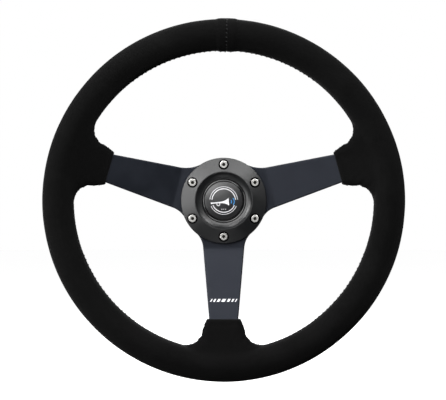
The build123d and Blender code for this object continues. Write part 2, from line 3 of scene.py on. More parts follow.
import bmesh
import bpy
import numpy as np
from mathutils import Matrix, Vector


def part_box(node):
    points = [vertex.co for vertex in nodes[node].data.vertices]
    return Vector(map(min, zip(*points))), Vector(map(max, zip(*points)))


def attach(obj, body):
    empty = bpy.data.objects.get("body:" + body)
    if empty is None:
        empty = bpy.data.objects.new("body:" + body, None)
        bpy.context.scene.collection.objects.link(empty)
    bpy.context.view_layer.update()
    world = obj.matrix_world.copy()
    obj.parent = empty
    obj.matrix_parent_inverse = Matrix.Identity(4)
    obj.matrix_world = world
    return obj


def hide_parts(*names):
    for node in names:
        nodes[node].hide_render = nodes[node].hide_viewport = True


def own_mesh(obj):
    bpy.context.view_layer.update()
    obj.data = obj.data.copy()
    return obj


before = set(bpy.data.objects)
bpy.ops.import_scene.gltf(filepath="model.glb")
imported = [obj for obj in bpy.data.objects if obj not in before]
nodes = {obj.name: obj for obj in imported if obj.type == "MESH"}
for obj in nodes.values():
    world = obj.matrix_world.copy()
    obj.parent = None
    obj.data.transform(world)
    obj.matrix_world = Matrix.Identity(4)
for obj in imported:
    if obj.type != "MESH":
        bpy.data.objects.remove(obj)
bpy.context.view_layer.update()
scene = bpy.context.scene
mm = 0.001
print("frame loaded:", len(nodes), "nodes")


# mesh helpers

def gridFaces(rows, columns, wrapRows, wrapColumns):
    # quads between neighbours on a grid, where a point's number is row times columns plus column
    r, c = np.meshgrid(np.arange(rows if wrapRows else rows - 1),
                       np.arange(columns if wrapColumns else columns - 1), indexing="ij")
    r2, c2 = (r + 1) % rows, (c + 1) % columns
    corners = (r * columns + c, r2 * columns + c, r2 * columns + c2, r * columns + c2)
    return np.stack(corners, -1).reshape(-1, 4)


def makePiece(name, points, faces, material, body="wheel", values=None):
    # a mesh from arrays of points in metres and of quads; values are point attributes by name
    mesh = bpy.data.meshes.new(name)
    mesh.vertices.add(len(points))
    mesh.vertices.foreach_set("co", np.ascontiguousarray(points, np.float32).ravel())
    mesh.loops.add(faces.size)
    mesh.loops.foreach_set("vertex_index", np.ascontiguousarray(faces, np.int32).ravel())
    mesh.polygons.add(len(faces))
    mesh.polygons.foreach_set("loop_start", np.arange(0, faces.size, 4, dtype=np.int32))
    mesh.update(calc_edges=True)
    for key, data in (values or {}).items():
        layer = mesh.attributes.new(key, "FLOAT", "POINT")
        layer.data.foreach_set("value", np.ascontiguousarray(data, np.float32).ravel())
    shape = bmesh.new()
    shape.from_mesh(mesh)
    bmesh.ops.remove_doubles(shape, verts=shape.verts, dist=1e-7)
    bmesh.ops.recalc_face_normals(shape, faces=shape.faces)
    shape.to_mesh(mesh)
    shape.free()
    mesh.polygons.foreach_set("use_smooth", np.ones(len(mesh.polygons), bool))
    mesh.materials.append(material)
    piece = bpy.data.objects.new(name, mesh)
    scene.collection.objects.link(piece)
    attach(piece, body)
    return piece


def tubes(centres, sideways, upward, radius, around):
    # round bars: each point is centre + radius * (cos of the angle * sideways + sin of the angle * upward);
    # centres is (bars, stations, 3), radius is (bars, stations), and the ends close where the radius is nil
    bars, stations = centres.shape[:2]
    angle = np.arange(around) * 2 * pi / around
    ring = np.cos(angle)[:, None] * sideways[:, :, None, :] + np.sin(angle)[:, None] * upward[:, :, None, :]
    points = centres[:, :, None, :] + radius[:, :, None, None] * ring
    quads = gridFaces(stations, around, False, True)
    faces = (quads[None] + (np.arange(bars) * stations * around)[:, None, None]).reshape(-1, 4)
    return points.reshape(-1, 3), faces


def unit(v):
    return v / np.maximum(np.linalg.norm(v, axis=-1, keepdims=True), 1e-12)


# shader groups, which put out only masks and heights

def newGroup(name, inputs, outputs):
    # inputs by name with their defaults, outputs by name: all of them plain numbers
    group = bpy.data.node_groups.new(name, "ShaderNodeTree")
    for label, value in inputs.items():
        socket = group.interface.new_socket(name=label, in_out="INPUT", socket_type="NodeSocketFloat")
        socket.default_value = value
    for label in outputs:
        group.interface.new_socket(name=label, in_out="OUTPUT", socket_type="NodeSocketFloat")
    start, end = group.nodes.new("NodeGroupInput"), group.nodes.new("NodeGroupOutput")
    return group, start.outputs, end.inputs


def addNode(tree, kind, links=None, **settings):
    node = tree.nodes.new("ShaderNode" + kind)
    for key, value in settings.items():
        setattr(node, key, value)
    for key, source in (links or {}).items():
        socket = node.inputs[key]
        if isinstance(source, bpy.types.NodeSocket):
            tree.links.new(source, socket)
        else:
            socket.default_value = source
    return node


def maths(tree, operation, *terms, clamp=False):
    return addNode(tree, "Math", dict(enumerate(terms)), operation=operation, use_clamp=clamp).outputs[0]


def ramp(tree, source, low, high):
    # 0 at low and below, 1 at high and above
    links = {"Value": source, "From Min": low, "From Max": high}
    return addNode(tree, "MapRange", links, clamp=True, interpolation_type="SMOOTHSTEP").outputs["Result"]


def placeOf(tree):
    # where a point is on its piece, in metres
    return addNode(tree, "TexCoord").outputs["Object"]


def flatPlace(tree):
    # the same place seen along the wheel's axis, with its depth taken out
    links = {0: placeOf(tree), 1: (1.0, 0.0, 1.0)}
    return addNode(tree, "VectorMath", links, operation="MULTIPLY").outputs["Vector"]


def noise(tree, scale, detail, **more):
    links = {"Vector": placeOf(tree), "Scale": scale, "Detail": detail, **more}
    return addNode(tree, "TexNoise", links).outputs["Fac"]


def buildGrain():
    # two sizes of noise added, the finer at a third of the height
    finer, share = 3.1, 0.33
    group, given, out = newGroup("fineGrain", {"Scale": 900.0, "Detail": 3.0}, ("Height", "Mask"))
    coarse = noise(group, given["Scale"], given["Detail"], Roughness=0.55)
    fine = noise(group, maths(group, "MULTIPLY", given["Scale"], finer), given["Detail"], Roughness=0.55)
    group.links.new(maths(group, "MULTIPLY_ADD", fine, share, coarse), out["Height"])
    group.links.new(ramp(group, coarse, 0.42, 0.62), out["Mask"])
    return group


def buildEdgeWear():
    # how far the rounded-off normal leans from the true one, broken up with noise
    group, given, out = newGroup("edgeWear", {"Radius": 0.0006, "Scale": 250.0}, ("Mask",))
    soft = addNode(group, "Bevel", {"Radius": given["Radius"]}, samples=6).outputs["Normal"]
    true = addNode(group, "NewGeometry").outputs["Normal"]
    lean = addNode(group, "VectorMath", {0: soft, 1: true}, operation="DOT_PRODUCT").outputs["Value"]
    edge = ramp(group, maths(group, "SUBTRACT", 1.0, lean), 0.02, 0.16)
    breakUp = ramp(group, noise(group, given["Scale"], 4.0), 0.35, 0.65)
    group.links.new(maths(group, "MULTIPLY", edge, breakUp), out["Mask"])
    return group


def buildPatches():
    # broad soft patches: noise of a low scale between two levels
    group, given, out = newGroup("tonePatches", {"Scale": 22.0, "Low": 0.35, "High": 0.65}, ("Mask",))
    cloud = noise(group, given["Scale"], 3.0, Roughness=0.5, Distortion=0.6)
    group.links.new(ramp(group, cloud, given["Low"], given["High"]), out["Mask"])
    return group


def buildTurned():
    # rings left by a lathe about the wheel's axis: a sine of the radius less the depth, shaken by noise
    group, given, out = newGroup("turnedRings", {"Pitch": 0.00025}, ("Height",))
    radius = addNode(group, "VectorMath", {0: flatPlace(group)}, operation="LENGTH").outputs["Value"]
    depth = addNode(group, "SeparateXYZ", {0: placeOf(group)}).outputs["Y"]
    rings = maths(group, "DIVIDE", maths(group, "SUBTRACT", radius, depth), given["Pitch"])
    phase = maths(group, "MULTIPLY", rings, 2 * pi)
    wave = maths(group, "SINE", maths(group, "MULTIPLY_ADD", noise(group, 160.0, 2.0), 9.0, phase))
    group.links.new(maths(group, "MULTIPLY_ADD", wave, 0.5, 0.5), out["Height"])
    return group


boltRing = {"radius": 0.035, "turns": range(30, 390, 60)}


def buildNearBolt():
    # 1 nearer than the radius to the axis of the nearest of the six bolts, 0 farther away
    group, given, out = newGroup("nearBolt", {"Radius": 0.005, "Soft": 0.0002}, ("Mask",))
    flat = flatPlace(group)
    nearest = 1.0
    for turn in boltRing["turns"]:
        centre = (boltRing["radius"] * cos(radians(turn)), 0.0, boltRing["radius"] * sin(radians(turn)))
        gap = addNode(group, "VectorMath", {0: flat, 1: centre}, operation="DISTANCE").outputs["Value"]
        nearest = maths(group, "MINIMUM", nearest, gap)
    inside = maths(group, "DIVIDE", maths(group, "SUBTRACT", given["Radius"], nearest), given["Soft"])
    group.links.new(maths(group, "ADD", inside, 0.5, clamp=True), out["Mask"])
    return group


fineGrain, edgeWear, tonePatches = buildGrain(), buildEdgeWear(), buildPatches()
turnedRings, nearBolt = buildTurned(), buildNearBolt()


def useGroup(tree, group, **values):
    node = tree.nodes.new("ShaderNodeGroup")
    node.node_tree = group
    for key, value in values.items():
        node.inputs[key].default_value = value
    return node.outputs


def patchMask(tree, scale, low, high):
    return useGroup(tree, tonePatches, Scale=scale, Low=low, High=high)["Mask"]


def mixColour(tree, mask, first, second):
    node = addNode(tree, "Mix", data_type="RGBA")
    for socket, value in ((node.inputs[0], mask), (node.inputs[6], first), (node.inputs[7], second)):
        if isinstance(value, bpy.types.NodeSocket):
            tree.links.new(value, socket)
        else:
            socket.default_value = value if isinstance(value, float) else (*value, 1.0)
    return node.outputs[2]


def newMaterial(name, **constants):
    material = bpy.data.materials.new(name)
    material.use_nodes = True
    shader = material.node_tree.nodes["Principled BSDF"]
    for key, value in constants.items():
        shader.inputs[key.replace("_", " ")].default_value = value
    return material, material.node_tree, shader.inputs


def setBump(tree, shader, height, distance):
    node = addNode(tree, "Bump", {"Height": height, "Distance": distance})
    tree.links.new(node.outputs["Normal"], shader["Normal"])


def tint(colour, factor):
    return tuple(c * factor for c in colour)


def roughAndBump(tree, shader, look, patch, grain):
    # roughness spread by the patches about its middle; the grain as bump, with turned rings if there are any
    rough = maths(tree, "MULTIPLY_ADD", patch, look["spread"], look["rough"] - look["spread"] / 2)
    tree.links.new(rough, shader["Roughness"])
    height = grain["Height"]
    if "rings" in look:
        pitch, share = look["rings"]
        rings = useGroup(tree, turnedRings, Pitch=pitch)["Height"]
        height = maths(tree, "MULTIPLY_ADD", rings, share, height)
    setBump(tree, shader, height, look["depth"])


# finishes; each set of patches is a scale and two levels

suedeLook = {
    "colour": (0.0022, 0.0022, 0.0022), "flat": 0.7, "brushed": 1.7, "speck": 1.5, "nap": 2600.0,
    "napDepth": 0.00012, "lie": (19.0, 0.38, 0.68), "small": (310.0, 0.3, 0.75), "smallShare": 0.35,
    "rough": 0.97, "smoothed": 0.08, "specular": 0.035, "sheen": 0.026, "sheenRough": 0.55,
}


def suede():
    # short brushed nap: fine fibres for the bump, and broad patches where the nap lies another way
    look = suedeLook
    material, tree, shader = newMaterial("suede", Specular_IOR_Level=look["specular"],
                                         Sheen_Weight=look["sheen"], Sheen_Roughness=look["sheenRough"])
    lie, small = patchMask(tree, *look["lie"]), patchMask(tree, *look["small"])
    nap = useGroup(tree, fineGrain, Scale=look["nap"], Detail=4.0)
    broad = maths(tree, "MULTIPLY", lie, 1 - look["smallShare"])
    tone = maths(tree, "MULTIPLY_ADD", small, look["smallShare"], broad)
    base = mixColour(tree, tone, tint(look["colour"], look["flat"]), tint(look["colour"], look["brushed"]))
    speck = mixColour(tree, nap["Mask"], base, tint(look["colour"], look["speck"]))
    tree.links.new(speck, shader["Base Color"])
    tree.links.new(maths(tree, "MULTIPLY_ADD", lie, -look["smoothed"], look["rough"]), shader["Roughness"])
    setBump(tree, shader, nap["Height"], look["napDepth"])
    return material


threadLook = {
    # the first colour is painted shade in the grooves between the plies
    "groove": (0.0035, 0.0035, 0.004), "ply": (0.010, 0.010, 0.011), "specular": 0.3, "sheen": 0.15,
    "fluff": 3200.0, "fluffShare": 0.25, "rough": 0.7, "fluffRough": 0.15, "depth": 0.00015,
}


def thread():
    # a twisted sewing thread: a sine of the twist attribute for the plies, which also darkens the grooves
    # between them as painted shade
    look = threadLook
    material, tree, shader = newMaterial("blackThread", Specular_IOR_Level=look["specular"],
                                         Sheen_Weight=look["sheen"])
    turn = addNode(tree, "Attribute", attribute_name="twist").outputs["Fac"]
    ply = maths(tree, "MULTIPLY_ADD", maths(tree, "SINE", turn), 0.5, 0.5)
    fluff = useGroup(tree, fineGrain, Scale=look["fluff"], Detail=3.0)
    tree.links.new(mixColour(tree, ply, look["groove"], look["ply"]), shader["Base Color"])
    rough = maths(tree, "MULTIPLY_ADD", fluff["Mask"], look["fluffRough"], look["rough"])
    tree.links.new(rough, shader["Roughness"])
    height = maths(tree, "MULTIPLY_ADD", fluff["Height"], look["fluffShare"], ply)
    setBump(tree, shader, height, look["depth"])
    return material


# every coat has its colour, the colour of its worn edges, its roughness and the spread of that, the scale and
# height of its grain, and how much its edges wear; what differs from the plain coat is added
plainCoat = {
    "metal": 0.0, "specular": 0.5, "cast": (1.0, 1.0, 1.0), "patch": (45.0, 0.3, 0.7), "wearRadius": 0.0007,
    # the last tone below is that of the painted shade in the recesses round the horn ring's bolts
    "tones": (0.88, 1.12), "specks": 0.3, "speckTone": 1.35, "oxideTone": 0.2,
}
coatings = {
    "spokeCoat": {
        "colour": (0.0044, 0.0054, 0.0078), "edge": (0.022, 0.024, 0.029), "rough": 0.46, "spread": 0.10,
        "grain": 1500.0, "depth": 0.00003, "wear": 0.55, "specular": 0.31, "cast": (0.78, 0.83, 1.0),
    },
    "ringCoat": {
        "colour": (0.0060, 0.0064, 0.0070), "edge": (0.03, 0.03, 0.032), "rough": 0.38, "spread": 0.06,
        # recess below is the radius of the painted shade round each bolt
        "grain": 2200.0, "depth": 0.000014, "wear": 0.5, "specular": 0.72, "recess": 0.0051,
    },
    "couplerCoat": {
        "colour": (0.012, 0.012, 0.0135), "edge": (0.10, 0.10, 0.105), "rough": 0.38, "spread": 0.10,
        "grain": 1800.0, "depth": 0.000014, "wear": 0.8, "metal": 0.2, "rings": (0.0003, 0.5),
    },
    "collarCoat": {
        "colour": (0.016, 0.016, 0.019), "edge": (0.14, 0.14, 0.145), "rough": 0.34, "spread": 0.10,
        "grain": 1800.0, "depth": 0.000012, "wear": 0.9, "metal": 0.3, "rings": (0.0003, 0.5),
    },
    "mouldedPlastic": {
        "colour": (0.018, 0.018, 0.019), "edge": (0.04, 0.04, 0.04), "rough": 0.58, "spread": 0.10,
        "grain": 2600.0, "depth": 0.00003, "wear": 0.4,
    },
    "capPlastic": {
        "colour": (0.008, 0.008, 0.009), "edge": (0.05, 0.05, 0.05), "rough": 0.31, "spread": 0.06,
        "grain": 3000.0, "depth": 0.000010, "wear": 0.3, "specular": 1.0,
    },
    "whitePlastic": {
        "colour": (0.70, 0.68, 0.62), "edge": (0.80, 0.79, 0.74), "rough": 0.45, "spread": 0.12,
        "grain": 1400.0, "depth": 0.00002, "wear": 0.3,
    },
    "sealRubber": {
        "colour": (0.014, 0.014, 0.014), "edge": (0.03, 0.03, 0.03), "rough": 0.62, "spread": 0.15,
        "grain": 2400.0, "depth": 0.00003, "wear": 0.3, "specular": 0.4,
    },
}


def coating(name):
    # an even coat with fine grain, patches of other roughness, and edges rubbed lighter
    look = plainCoat | coatings[name]
    material, tree, shader = newMaterial(name, Metallic=look["metal"], Specular_IOR_Level=look["specular"],
                                         Specular_Tint=(*look["cast"], 1.0))
    grain = useGroup(tree, fineGrain, Scale=look["grain"], Detail=3.0)
    patch = patchMask(tree, *look["patch"])
    wear = maths(tree, "MULTIPLY", useGroup(tree, edgeWear, Radius=look["wearRadius"])["Mask"], look["wear"])
    base = mixColour(tree, patch, *[tint(look["colour"], tone) for tone in look["tones"]])
    if "recess" in look:
        # painted shade in the recesses round the bolts: the coat darkened to a near black there and made a
        # metal, so that it hardly gleams
        recess = useGroup(tree, nearBolt, Radius=look["recess"])["Mask"]
        base = mixColour(tree, recess, base, tint(look["colour"], look["oxideTone"]))
        tree.links.new(recess, shader["Metallic"])
    specks = maths(tree, "MULTIPLY", grain["Mask"], look["specks"])
    speck = mixColour(tree, specks, base, tint(look["colour"], look["speckTone"]))
    tree.links.new(mixColour(tree, wear, speck, look["edge"]), shader["Base Color"])
    roughAndBump(tree, shader, look, patch, grain)
    return material


# every metal has its colour, the colour of its stains, its roughness and the spread of that, and its grain
plainMetal = {
    "patch": (120.0, 0.35, 0.8), "stained": 0.5, "wearRadius": 0.0004, "wear": 0.4, "edgeTone": 1.12,
}
metals = {
    "bareAluminium": {
        "colour": (0.76, 0.76, 0.77), "stain": (0.55, 0.55, 0.56), "rough": 0.34, "spread": 0.16,
        "grain": 900.0, "depth": 0.00002,
    },
    "polishedSteel": {
        "colour": (0.86, 0.85, 0.83), "stain": (0.62, 0.61, 0.58), "rough": 0.20, "spread": 0.14,
        "grain": 1600.0, "depth": 0.000012,
    },
    "boltSteel": {
        "colour": (0.90, 0.89, 0.86), "stain": (0.66, 0.65, 0.61), "rough": 0.22, "spread": 0.14,
        # the socket's radius and the colour of the painted shade in it stand last on the next line
        "grain": 1600.0, "depth": 0.000012, "socket": 0.00165, "grime": (0.03, 0.028, 0.024),
    },
    "springSteel": {
        "colour": (0.40, 0.40, 0.42), "stain": (0.22, 0.21, 0.20), "rough": 0.30, "spread": 0.16,
        "grain": 1500.0, "depth": 0.00002,
    },
    "hardSteel": {
        "colour": (0.50, 0.50, 0.51), "stain": (0.30, 0.29, 0.28), "rough": 0.30, "spread": 0.18,
        "grain": 1300.0, "depth": 0.00002, "rings": (0.00022, 0.6),
    },
    "contactBrass": {
        "colour": (0.80, 0.58, 0.27), "stain": (0.42, 0.27, 0.12), "rough": 0.26, "spread": 0.2,
        "grain": 1200.0, "depth": 0.00002,
    },
}


def metal(name):
    # bare metal: patches of handling stain, fine scratches as grain, and brighter edges
    look = plainMetal | metals[name]
    material, tree, shader = newMaterial(name, Metallic=1.0)
    grain = useGroup(tree, fineGrain, Scale=look["grain"], Detail=4.0)
    patch = patchMask(tree, *look["patch"])
    wear = maths(tree, "MULTIPLY", useGroup(tree, edgeWear, Radius=look["wearRadius"])["Mask"], look["wear"])
    base = mixColour(tree, maths(tree, "MULTIPLY", patch, look["stained"]), look["colour"], look["stain"])
    if "socket" in look:
        # painted shade in the hexagon socket: its inside darkened to a near black
        hexagon = useGroup(tree, nearBolt, Radius=look["socket"])["Mask"]
        base = mixColour(tree, hexagon, base, look["grime"])
    tree.links.new(mixColour(tree, wear, base, tint(look["colour"], look["edgeTone"])), shader["Base Color"])
    roughAndBump(tree, shader, look, patch, grain)
    return material


bezelLook = {
    "dark": (0.0050, 0.0050, 0.0055), "light": (0.0085, 0.0085, 0.009), "specular": 0.6, "skin": 0.7,
    "skinRough": 0.05, "patch": (160.0, 0.4, 0.8), "rough": 0.15, "spread": 0.10, "grain": 500.0,
    "depth": 0.000006,
}


def glossBlack():
    # gloss plastic with a clear skin, a few rubbed patches and a faint flow texture
    look = bezelLook
    material, tree, shader = newMaterial("bezelGloss", Specular_IOR_Level=look["specular"],
                                         Coat_Weight=look["skin"], Coat_Roughness=look["skinRough"])
    patch = patchMask(tree, *look["patch"])
    tree.links.new(mixColour(tree, patch, look["dark"], look["light"]), shader["Base Color"])
    roughAndBump(tree, shader, look, patch, useGroup(tree, fineGrain, Scale=look["grain"], Detail=2.0))
    return material


inks = {"whiteInk": (0.82, 0.82, 0.84), "blueInk": (0.05, 0.27, 0.62)}
inkLook = {"thin": 0.86, "grain": 2400.0, "depth": 0.00001, "specular": 0.4, "rough": 0.45, "spread": 0.12}


def ink(name):
    # screen-printed ink: slightly uneven cover and a matt skin
    look, colour = inkLook, inks[name]
    material, tree, shader = newMaterial(name, Specular_IOR_Level=look["specular"])
    cover = useGroup(tree, fineGrain, Scale=look["grain"], Detail=3.0)
    tree.links.new(mixColour(tree, cover["Mask"], tint(colour, look["thin"]), colour), shader["Base Color"])
    rough = maths(tree, "MULTIPLY_ADD", cover["Mask"], look["spread"], look["rough"])
    tree.links.new(rough, shader["Roughness"])
    setBump(tree, shader, cover["Height"], look["depth"])
    return material


suedeSkin, sewingThread = suede(), thread()
looks = {name: coating(name) for name in coatings}
looks.update({name: metal(name) for name in metals})
looks["bezelGloss"] = glossBlack()
looks.update({name: ink(name) for name in inks})

finishes = {
    "spokeCoat": ["spoke_frame"],
    "ringCoat": ["horn_ring"],
    "couplerCoat": ["coupler_body"],
    "collarCoat": ["release_collar", "collar_end_ring"],
    "mouldedPlastic": ["horn_housing"],
    "capPlastic": ["horn_cap"],
    "whitePlastic": ["contact_carrier"],
    "sealRubber": ["bore_seal"],
    "bareAluminium": ["rim_core", "spoke_rivets"],
    "polishedSteel": [f"lock_ball_{i}" for i in range(1, 7)],
    "boltSteel": ["wheel_bolts"],
    "springSteel": ["carrier_clip", "stop_ring"],
    "hardSteel": ["spline_insert"],
    "contactBrass": ["fixed_contact", "moving_contact", "horn_terminals", "contact_pin", "contact_plug"],
    "bezelGloss": ["horn_bezel"],
}
for lookName, nodeNames in finishes.items():
    for nodeName in nodeNames:
        slots = nodes[nodeName].data.materials
        slots.clear()
        slots.append(looks[lookName])
print("finishes made:", len(looks))

# the grip: rim and three boots as one sewn skin, in millimetres until it is made

wheel = {
    "rimRadius": 159.75, "rimDepth": 70.0, "halfWidth": 15.25, "halfThickness": 16.0,
    "spokes": (15.7, 164.3, 270.0), "plateMiddle": 50.5, "halfPlate": 2.5, "bend": 47.0, "slope": 0.20968,
}
# the boot's flank is given as steps from the hem and half widths; its front and back run straight from the
# hem to the first number along the spoke, at the second number's depth
boot = {
    "flank": ((0.0, 15.9), (7.1, 19.4), (15.6, 21.8), (22.3, 27.9), (25.0, 36.9), (26.6, 47.9)),
    "hem": 114.4, "hemThick": 4.3, "corner": 2.2, "hemRound": 1.7, "hemMargin": 1.0, "halfReach": 60.0,
    "frontLine": (148.0, 80.24), "backLine": (152.0, 56.24), "edgeRound": (4.6, 9.0), "roundOver": 26.0,
    "climbFrom": 132.0, "climbOver": 14.0, "fadeOver": 8.0, "blend": 2.0, "tipBlend": 0.35, "rimBlend": 2.0,
    "foldWidth": 4.5, "foldRise": 0.30, "foldSoft": 0.35, "foldStart": 1.2, "foldHalf": 30.0,
}
grip = {
    "columns": 1150, "innerRows": 30, "outerRows": 24, "rowCrowd": 1.2, "columnCrowd": 1.6, "crowdHalf": 9.0,
    "topSeam": 89.0, "swell": 0.9, "swellHalf": 8.6, "swellEdge": 1.6, "swellSteep": 2.2,
    "notch": 1.1, "notchHalf": 0.55,
    "valley": 0.35, "valleyHalf": 1.3, "pucker": 0.14, "puckerOuter": 3.2, "puckerInner": 1.0, "pitch": 5.0,
    "seamStop": 3.0, "seamFade": 2.0, "lumps": ((4, 0.085, 0.10), (9, 0.5, 0.035)),
}
# wrinkles where the boot narrows: where they are along and across, how far they reach, and their waves
wrinkle = {
    "along": 131.0, "alongHalf": 8.0, "across": 20.0, "acrossHalf": 9.0, "wave": 0.9, "lean": (0.55, 0.8),
    "height": 0.35,
}


def smoothMax(a, b, k):
    # the larger of two fields, blended where they differ by less than k
    share = np.clip(0.5 + 0.5 * (a - b) / np.maximum(k, 1e-6), 0, 1)
    return b + (a - b) * share + k * share * (1 - share)


def roundOff(distance, radius):
    # quarter ellipse: 0 on the edge and 1 from radius inward
    return np.sqrt(np.clip(1 - (1 - np.clip(distance / radius, 0, 1)) ** 2, 0, 1))


def splineThrough(points, count):
    # a smooth line through points, as cubic pieces whose tangents are the chords of their neighbours
    p = np.asarray(points, float)
    tangent = np.vstack([p[1] - p[0], (p[2:] - p[:-2]) / 2, p[-1] - p[-2]])
    t = np.linspace(0, len(p) - 1, count)
    k = np.minimum(t.astype(int), len(p) - 2)
    u = (t - k)[:, None]
    return ((2 * u**3 - 3 * u**2 + 1) * p[k] + (u**3 - 2 * u**2 + u) * tangent[k]
            + (3 * u**2 - 2 * u**3) * p[k + 1] + (u**3 - u**2) * tangent[k + 1])


flankLine = splineThrough([(boot["hem"] + a, p) for a, p in boot["flank"]], 260)


def innerEdge(turn):
    # radius of the grip's sewn edge at each angle: the larger of the straight hem's and the flank's radius,
    # and no more than the rim's inside
    plain = wheel["rimRadius"] - wheel["halfWidth"]
    flankTurn = np.arctan2(flankLine[:, 1], flankLine[:, 0])
    flankRadius = np.hypot(flankLine[:, 0], flankLine[:, 1])
    offset = np.min([np.abs((turn - radians(a) + pi) % (2 * pi) - pi) for a in wheel["spokes"]], axis=0)
    hemTurn, pastRim = 0.3, 200.0
    hemRadius = boot["hem"] / np.cos(np.minimum(offset, hemTurn))
    onFlank = np.interp(offset, flankTurn, flankRadius, left=0.0, right=pastRim)
    drawn = smoothMax(hemRadius, onFlank, boot["corner"])
    return -smoothMax(-drawn, np.full_like(drawn, -plain), boot["rimBlend"])


def spokeFrame(x, z):
    # distance along the nearest spoke and across it
    turn = np.arctan2(z, x)
    offsets = np.array([(turn - radians(a) + pi) % (2 * pi) - pi for a in wheel["spokes"]])
    offset = np.take_along_axis(offsets, np.abs(offsets).argmin(0)[None], 0)[0]
    radius = np.hypot(x, z)
    return radius * np.cos(offset), np.abs(radius * np.sin(offset))


def flankDistance(along, across):
    # distance inward from the boot's sewn flank, nil outside it; measured in chunks to save memory
    line = flankLine[::3]
    chunk = 20000
    gap = np.full(along.shape, 1e9)
    near = np.abs(across) < boot["halfReach"]
    pa, pc = along[near], across[near]
    d = np.empty(pa.shape)
    for start in range(0, len(pa), chunk):
        block = slice(start, start + chunk)
        d[block] = np.sqrt(((pa[block, None] - line[:, 0]) ** 2 + (pc[block, None] - line[:, 1]) ** 2).min(1))
    gap[near] = d
    edge = np.interp(along, flankLine[:, 0], flankLine[:, 1])
    return np.where(across < edge, gap, 0.0)


def lineAt(along, end, start):
    # straight line from the hem to a point on the rim, as a depth
    return start + (end[1] - start) * (along - boot["hem"]) / (end[0] - boot["hem"])


# columns: angles packed by the length of the sewn edge, closer at the top seam
fineTurn = np.linspace(0, 2 * pi, 40001)
fineRadius = innerEdge(fineTurn)
seamTurn = radians(grip["topSeam"])
stepLength = np.hypot(np.gradient(fineRadius), fineRadius * np.gradient(fineTurn))
seamArc = np.abs((fineTurn - seamTurn + pi) % (2 * pi) - pi) * wheel["rimRadius"]
crowd = 1 + grip["columnCrowd"] * np.exp(-(seamArc / grip["crowdHalf"]) ** 2)
travelled = np.concatenate([[0], np.cumsum(stepLength[1:] * crowd[1:])])
edgeLength = np.concatenate([[0], np.cumsum(stepLength[1:])])
columnAt = np.arange(grip["columns"]) * travelled[-1] / grip["columns"]
turn = np.interp(columnAt, travelled, fineTurn)
edgeAt = np.interp(columnAt, travelled, edgeLength)
edgeRadius = innerEdge(turn)


def gripSkin():
    # the grip's section at each angle: the outer half is an ellipse; the inner half runs from the ellipse's
    # top to the sewn edge, its height the larger of the ellipse's and the boot's, rounded down to nil there
    w, b, g = wheel, boot, grip
    k, m = g["innerRows"], g["outerRows"]
    share = (np.arange(k + 1) / k) ** g["rowCrowd"] * pi / 2
    inward = 1 - np.cos(share)
    radius = edgeRadius[:, None] + (w["rimRadius"] - edgeRadius[:, None]) * inward[None]
    x, z = radius * np.cos(turn)[:, None], radius * np.sin(turn)[:, None]
    along, across = spokeFrame(x, z)
    middle = np.minimum(w["plateMiddle"] + w["slope"] * (along - w["bend"]), w["rimDepth"])
    inBoot = (across < b["halfReach"]) & (along > b["hem"] - b["hemMargin"])
    middle = np.where(inBoot, middle, w["rimDepth"])
    nearRim = np.clip((radius - b["climbFrom"]) / b["climbOver"], 0, 1)
    middle = middle + (w["rimDepth"] - middle) * nearRim**2 * (3 - 2 * nearRim)
    oval = w["halfThickness"] * np.sqrt(np.clip(1 - ((w["rimRadius"] - radius) / w["halfWidth"]) ** 2, 0, 1))
    ovalRise = np.where(radius > w["rimRadius"] - w["halfWidth"], oval, 0.0)
    flank = flankDistance(along, across)
    hemSide = np.clip((along - b["hem"]) / b["roundOver"], 0, 1)
    rounding = b["edgeRound"][0] + (b["edgeRound"][1] - b["edgeRound"][0]) * hemSide
    tip = radius - edgeRadius[:, None]
    closing = roundOff(tip, b["hemRound"])
    fade = np.clip((w["rimRadius"] - radius) / b["fadeOver"], 0, 1)
    middleAtHem = w["plateMiddle"] + w["slope"] * (b["hem"] - w["bend"])
    halves = []
    for sign, end in ((1, b["frontLine"]), (-1, b["backLine"])):
        line = lineAt(along, end, middleAtHem + sign * b["hemThick"])
        rise = sign * (line - middle)
        padding = np.where(inBoot, rise * roundOff(flank, rounding) * closing, 0.0) * fade
        height = smoothMax(ovalRise, padding, np.minimum(b["blend"], b["tipBlend"] * tip))
        halves.append(middle + sign * height)
    front, back = halves
    sweep = pi / 2 - (np.arange(1, m)) * pi / m
    outerRadius = w["rimRadius"] + w["halfWidth"] * np.cos(sweep)
    outerDepth = w["rimDepth"] + w["halfThickness"] * np.sin(sweep)
    allRadius = np.hstack([radius, np.tile(outerRadius, (len(turn), 1)), radius[:, :0:-1]])
    depth = np.hstack([front, np.tile(outerDepth, (len(turn), 1)), back[:, :0:-1]])
    return allRadius, depth


skinRadius, skinDepth = gripSkin()
skin = np.stack([skinRadius * np.cos(turn)[:, None], -skinDepth, skinRadius * np.sin(turn)[:, None]], -1)


def gridNormals(points):
    # cross product of the two grid directions, both closed
    onward = np.roll(points, -1, 1) - np.roll(points, 1, 1)
    around = np.roll(points, -1, 0) - np.roll(points, 1, 0)
    return unit(np.cross(onward, around))


def softNoise(x, y, z, seed, scale):
    # sum of eight sine waves in seeded directions
    random = np.random.default_rng(seed)
    total = 0
    for direction, phase in zip(random.normal(size=(8, 3)), random.uniform(0, 2 * pi, 8)):
        direction = direction / np.linalg.norm(direction) * scale * (0.6 + 0.8 * phase / (2 * pi))
        total = total + np.sin(direction[0] * x + direction[1] * y + direction[2] * z + phase)
    return total / 4


